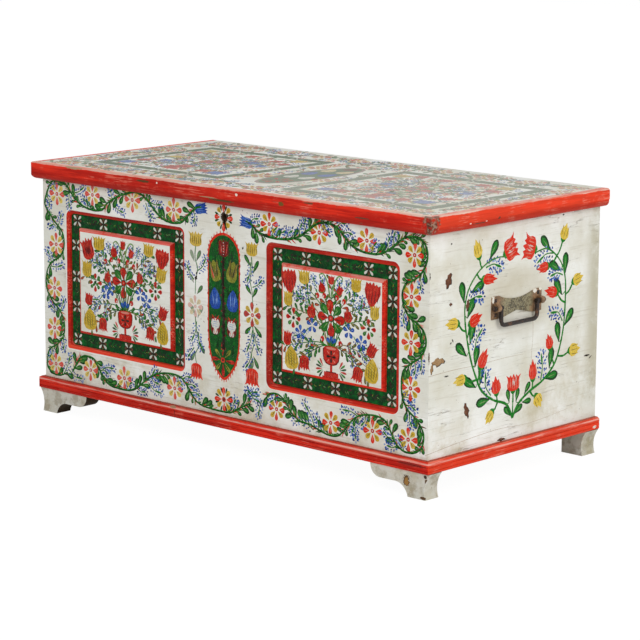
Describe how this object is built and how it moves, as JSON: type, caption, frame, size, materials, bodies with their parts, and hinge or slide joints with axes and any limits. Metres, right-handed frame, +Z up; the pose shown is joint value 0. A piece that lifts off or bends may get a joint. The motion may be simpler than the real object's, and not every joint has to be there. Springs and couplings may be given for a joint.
{
  "type": "painted dowry chest",
  "caption": "Painted wooden dowry chest on bracket feet with two fielded front panels, a hinged lid, an inside lock, a lidded till and a bail handle on each end.",
  "frame": {"origin": "on the floor, at the middle of the overall box seen from above", "axes": "+X to the right along the chest's length seen from the front, -Y out of the painted front, +Z up"},
  "size_m": [1.244, 0.6044, 0.5983],
  "materials": {
    "red_painted_pine": "worn satin oil paint",
    "white_painted_pine": "worn satin oil paint",
    "bare_pine": "planed and aged",
    "wrought_iron": "forged, dark with rust",
    "handle_metal": "stamped sheet, dull and rusted at the ends",
    "spring_steel": "dark oiled"
  },
  "bodies": {
    "carcass": {"front_board": "white_painted_pine", "left_front_panel": "white_painted_pine", "right_front_panel": "white_painted_pine", "back_board_lower": "bare_pine", "back_board_upper": "bare_pine", "right_side_lower": "white_painted_pine", "right_side_upper": "white_painted_pine", "left_side_lower": "white_painted_pine", "left_side_upper": "white_painted_pine", "bottom_plank_front": "bare_pine", "bottom_plank_middle": "bare_pine", "bottom_plank_back": "bare_pine", "bottom_nails": "wrought_iron", "base_moulding_front": "red_painted_pine", "base_moulding_right": "red_painted_pine", "base_moulding_left": "red_painted_pine", "foot_front_right": "white_painted_pine", "foot_front_left": "white_painted_pine", "foot_back_right": "bare_pine", "foot_back_left": "bare_pine", "hinge_leaf_left": "wrought_iron", "hinge_leaf_right": "wrought_iron", "hinge_pin_left": "wrought_iron", "hinge_pin_right": "wrought_iron", "hinge_leaf_nails": "wrought_iron", "lock_plate": "wrought_iron", "lock_case": "wrought_iron", "lock_key_post": "wrought_iron", "lock_spring": "spring_steel", "lock_nails": "wrought_iron", "handle_plate_right": "handle_metal", "handle_plate_left": "handle_metal", "handle_nails": "wrought_iron", "till_wall": "bare_pine", "till_floor": "bare_pine"},
    "lid": {"lid_board_front": "white_painted_pine", "lid_board_middle": "white_painted_pine", "lid_board_back": "white_painted_pine", "lid_moulding_front": "red_painted_pine", "lid_moulding_right": "red_painted_pine", "lid_moulding_left": "red_painted_pine", "hinge_strap_left": "wrought_iron", "hinge_strap_right": "wrought_iron", "hinge_strap_nails": "wrought_iron", "lid_staple": "wrought_iron", "staple_nails": "wrought_iron"},
    "bail_right": {"bail_right": "wrought_iron"},
    "bail_left": {"bail_left": "wrought_iron"},
    "bolt": {"lock_bolt": "wrought_iron"},
    "till_lid": {"till_lid": "bare_pine"}
  },
  "joints": [
    {"name": "lid_hinge", "type": "hinge", "parent": "carcass", "child": "lid", "pos_m": [0, 0.2967, 0.5724], "axis": [-1, 0, 0], "range_deg": [0, 100]},
    {"name": "bolt_slide", "type": "slide", "parent": "carcass", "child": "bolt", "axis": [1, 0, 0], "range_m": [0, 0.014]},
    {"name": "right_bail_hinge", "type": "hinge", "parent": "carcass", "child": "bail_right", "pos_m": [0.6095, 0.0018, 0.378], "axis": [0, -1, 0], "range_deg": [0, 180]},
    {"name": "left_bail_hinge", "type": "hinge", "parent": "carcass", "child": "bail_left", "pos_m": [-0.6095, 0.0018, 0.378], "axis": [0, 1, 0], "range_deg": [0, 180]},
    {"name": "till_lid_hinge", "type": "hinge", "parent": "carcass", "child": "till_lid", "pos_m": [-0.56, 0, 0.4353], "axis": [0, -1, 0], "range_deg": [0, 95]}
  ]
}
